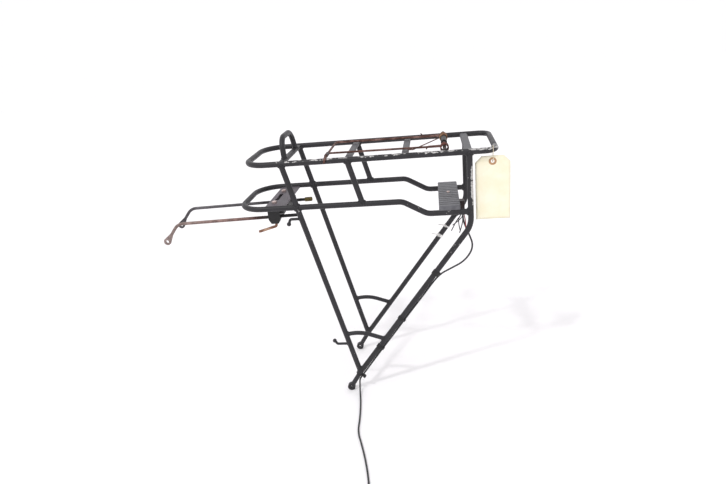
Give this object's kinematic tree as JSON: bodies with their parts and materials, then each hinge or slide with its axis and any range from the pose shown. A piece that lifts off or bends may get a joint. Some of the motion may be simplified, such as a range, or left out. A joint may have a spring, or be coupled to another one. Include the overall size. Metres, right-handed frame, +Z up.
{
  "type": "bicycle rear luggage carrier",
  "caption": "Welded rod carrier for the rear of a bicycle with a sprung top clip, adjustable front stays, ribbed rear block and a clipped light lead.",
  "frame": {"origin": "middle of the common axis of the two dropout eyelets, where the carrier bolts to the bicycle", "axes": "+X towards the rear of the bicycle, +Y towards its right side, +Z up"},
  "size_m": [0.661, 0.4622, 0.5095],
  "materials": {
    "black_plastic": "moulded black plastic",
    "black_powder_coat": "satin black powder coat on aluminium rod, chipped",
    "black_pvc": "black cable sheath",
    "black_steel": "black coated steel rod",
    "brass": "tarnished brass",
    "cotton_string": "cotton string",
    "grey_coated_steel": "grey coated steel plate",
    "grey_plastic": "ribbed grey plastic",
    "red_pvc": "red wire insulation",
    "rusty_spring_steel": "rusted spring steel wire",
    "rusty_steel": "plated steel rod browned with rust",
    "tag_card": "pale yellow card",
    "tag_ring_fibre": "brown fibre ring",
    "white_nylon": "white nylon",
    "zinc_steel": "zinc plated steel"
  },
  "bodies": {
    "frame": {"block_screw": "zinc_steel", "clip_axle": "black_steel", "clip_bush": "black_plastic", "deck_loop": "black_powder_coat", "deck_slat_front": "black_powder_coat", "deck_slat_middle": "black_powder_coat", "deck_slat_rear": "black_powder_coat", "deck_slat_third": "black_powder_coat", "dropout_lug_left": "black_powder_coat", "dropout_lug_right": "black_powder_coat", "front_hoop": "black_powder_coat", "front_leg_left": "black_powder_coat", "front_leg_right": "black_powder_coat", "front_plate": "grey_coated_steel", "lead_clip_lower": "black_plastic", "lead_clip_middle": "black_plastic", "lead_clip_upper": "black_plastic", "lead_tie_foot": "black_plastic", "lead_tie_head": "black_plastic", "leg_brace_left": "black_powder_coat", "leg_brace_right": "black_powder_coat", "light_connector": "black_plastic", "light_lead": "black_pvc", "light_lead_plug": "black_plastic", "light_lead_tail": "black_pvc", "lower_front_loop": "black_powder_coat", "lower_rail_left": "black_powder_coat", "lower_rail_right": "black_powder_coat", "rear_block": "grey_plastic", "rear_leg_left": "black_powder_coat", "rear_leg_right": "black_powder_coat", "side_strut_left": "black_powder_coat", "side_strut_right": "black_powder_coat", "stay_bolts": "zinc_steel", "stay_nuts": "zinc_steel", "strap_hook_lower": "black_powder_coat", "strap_hook_upper": "black_powder_coat", "tag_string": "cotton_string", "white_tie_narrow": "white_nylon", "white_tie_wide": "white_nylon", "wire_red": "red_pvc", "wires_black": "black_pvc"},
    "clip": {"clip_bail": "rusty_spring_steel", "clip_coil_left": "rusty_spring_steel", "clip_coil_right": "rusty_spring_steel", "clip_grip": "black_plastic", "clip_spring_long": "rusty_spring_steel", "clip_spring_end_left": "rusty_spring_steel", "clip_spring_end_right": "rusty_spring_steel"},
    "clamp_left": {"stay_clamp_left": "black_plastic", "clamp_set_screw_left": "black_plastic", "clamp_bent_pin": "rusty_spring_steel"},
    "clamp_right": {"stay_clamp_right": "black_plastic", "clamp_set_screw_right": "black_plastic"},
    "stay_left": {"stay_left": "rusty_steel"},
    "stay_right": {"stay_right": "black_steel", "stay_end_cap_right": "brass"},
    "tag": {"blank_tag": "tag_card", "tag_ring": "tag_ring_fibre"}
  },
  "joints": [
    {"name": "clip_hinge", "type": "hinge", "parent": "frame", "child": "clip", "pos_m": [0.203, 0, 0.4645], "axis": [0, 1, 0], "range_deg": [0, 100], "stiffness_Nm_per_rad": 0.25, "springref_deg": -28.65},
    {"name": "clamp_left_swivel", "type": "hinge", "parent": "frame", "child": "clamp_left", "pos_m": [-0.112, -0.037, 0.365], "axis": [0, 0, 1], "range_deg": [-9, 9]},
    {"name": "clamp_right_swivel", "type": "hinge", "parent": "frame", "child": "clamp_right", "pos_m": [-0.112, 0.037, 0.365], "axis": [0, 0, 1], "range_deg": [-9, 9]},
    {"name": "stay_left_slide", "type": "slide", "parent": "clamp_left", "child": "stay_left", "axis": [0.9997, 0, 0.025], "range_m": [-0.03, 0.08]},
    {"name": "stay_right_slide", "type": "slide", "parent": "clamp_right", "child": "stay_right", "axis": [0.9997, 0, 0.025], "range_m": [-0.02, 0.08]},
    {"name": "tag_swing", "type": "hinge", "parent": "frame", "child": "tag", "pos_m": [0.281, -0.068, 0.44], "axis": [0, 1, 0], "range_deg": [-12, 12]}
  ]
}
